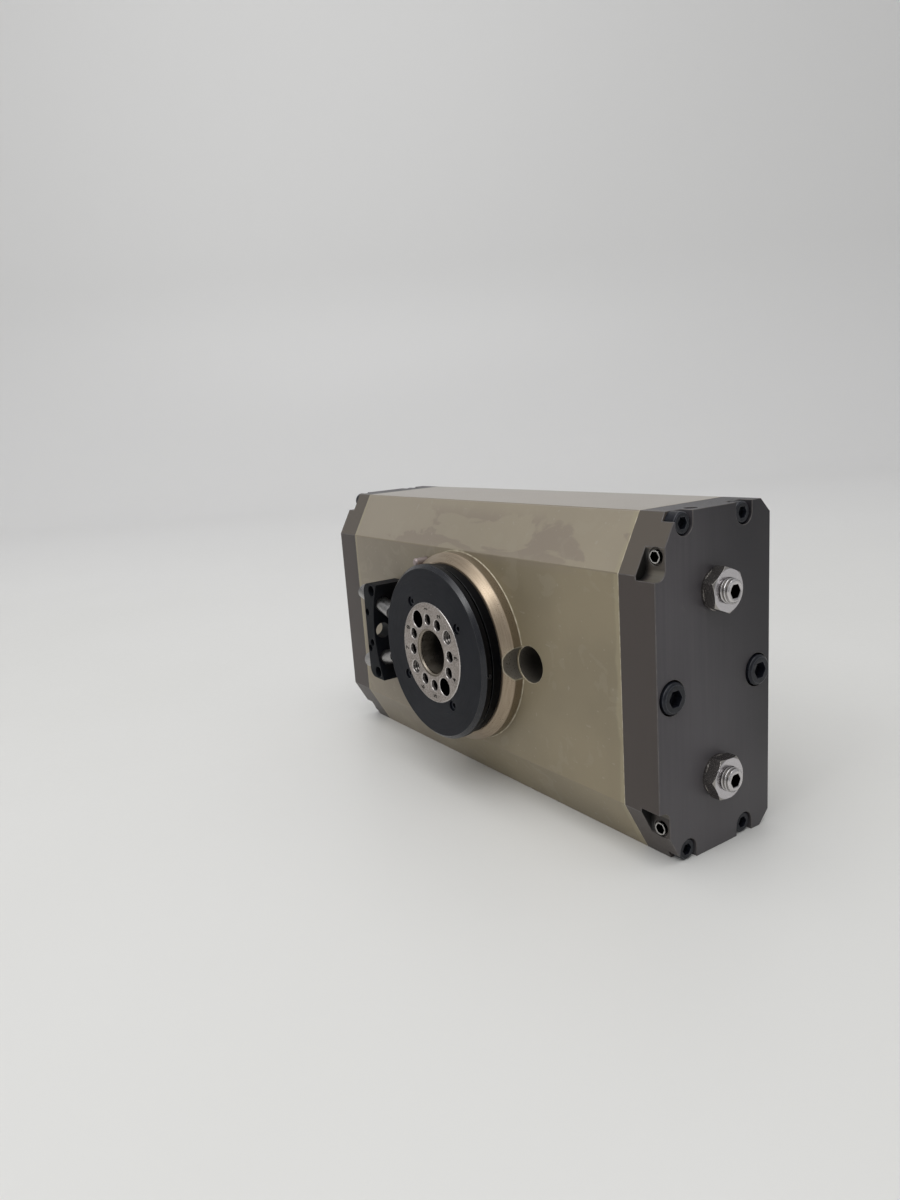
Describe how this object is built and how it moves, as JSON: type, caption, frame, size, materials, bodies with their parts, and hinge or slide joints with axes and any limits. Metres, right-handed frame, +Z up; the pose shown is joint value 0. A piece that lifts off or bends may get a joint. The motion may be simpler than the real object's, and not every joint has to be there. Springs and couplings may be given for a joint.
{
  "type": "swivel module",
  "caption": "Block-shaped pneumatic swivel module: rack pistons in parallel bores turn a hollow pinion shaft with a numbered flange, sensor bracket, adjusting screws and throttles.",
  "frame": {"origin": "centre of the hollow shaft's bore at the flange's front face", "axes": "+X along the block towards the adjusting screws, -Y out of the flange, +Z up"},
  "size_m": [0.2066, 0.0681, 0.11],
  "materials": {
    "housing_anodised": "hard anodised olive bronze, satin",
    "cap_anodised": "dark anodised, satin",
    "flange_black": "black anodised, fine turned satin",
    "shaft_steel": "bead blasted grey",
    "bright_steel": "nickel plated",
    "black_screw": "black oxide",
    "bearing_steel": "ground",
    "piston_alloy": "machined",
    "seal_rubber": "matt",
    "guide_plastic": "matt",
    "sensor_steel": "bright stainless tube",
    "sensor_plastic": "matt black",
    "bracket_anodised": "black anodised, satin"
  },
  "bodies": {
    "housing": {"housing": "housing_anodised", "end_cap_right": "cap_anodised", "end_cap_left": "cap_anodised", "corner_screws_right": "black_screw", "corner_screws_left": "black_screw", "face_screws_right": "black_screw", "face_screws_left": "black_screw", "bore_seals_right": "seal_rubber", "bore_seals_left": "seal_rubber", "stop_screw_upper": "bright_steel", "stop_screw_lower": "bright_steel", "lock_nut_upper": "bright_steel", "lock_nut_lower": "bright_steel", "stop_washers": "bright_steel", "throttle_screws": "bright_steel", "front_bearing_outer_ring": "bearing_steel", "front_bearing_rollers": "bearing_steel", "rear_bearing_outer_ring": "bearing_steel", "rear_bearing_rollers": "bearing_steel", "shaft_seal": "seal_rubber", "rear_cover": "cap_anodised", "rear_cover_screws": "black_screw", "sensor_bracket": "bracket_anodised", "bracket_screws": "black_screw", "sensor_clamp_screws": "black_screw", "sensor_upper": "sensor_steel", "sensor_upper_face": "sensor_plastic", "sensor_lower": "sensor_steel", "sensor_lower_face": "sensor_plastic", "boss_pin": "bright_steel"},
    "swivel": {"pinion_shaft": "shaft_steel", "flange_disc": "flange_black", "disc_set_screw": "black_screw", "disc_screws": "black_screw", "cam_ring": "flange_black", "front_bearing_inner_ring": "bearing_steel", "rear_bearing_inner_ring": "bearing_steel", "retaining_ring": "bearing_steel"},
    "upper_rack": {"upper_piston": "piston_alloy", "upper_piston_guides": "guide_plastic", "upper_piston_seals": "seal_rubber"},
    "lower_rack": {"lower_piston": "piston_alloy", "lower_piston_guides": "guide_plastic", "lower_piston_seals": "seal_rubber"}
  },
  "joints": [
    {"name": "flange_swivel", "type": "hinge", "parent": "housing", "child": "swivel", "pos_m": [0, 0, 0], "axis": [0, -1, 0], "range_deg": [-90, 90]},
    {"name": "upper_piston_slide", "type": "slide", "parent": "housing", "child": "upper_rack", "axis": [1, 0, 0], "range_m": [-0.0283, 0.0283]},
    {"name": "lower_piston_slide", "type": "slide", "parent": "housing", "child": "lower_rack", "axis": [1, 0, 0], "range_m": [-0.0283, 0.0283]}
  ],
  "couplings": [
    {"joint": "upper_piston_slide", "follows": "flange_swivel", "m_per_rad": -0.018},
    {"joint": "lower_piston_slide", "follows": "flange_swivel", "m_per_rad": 0.018}
  ]
}
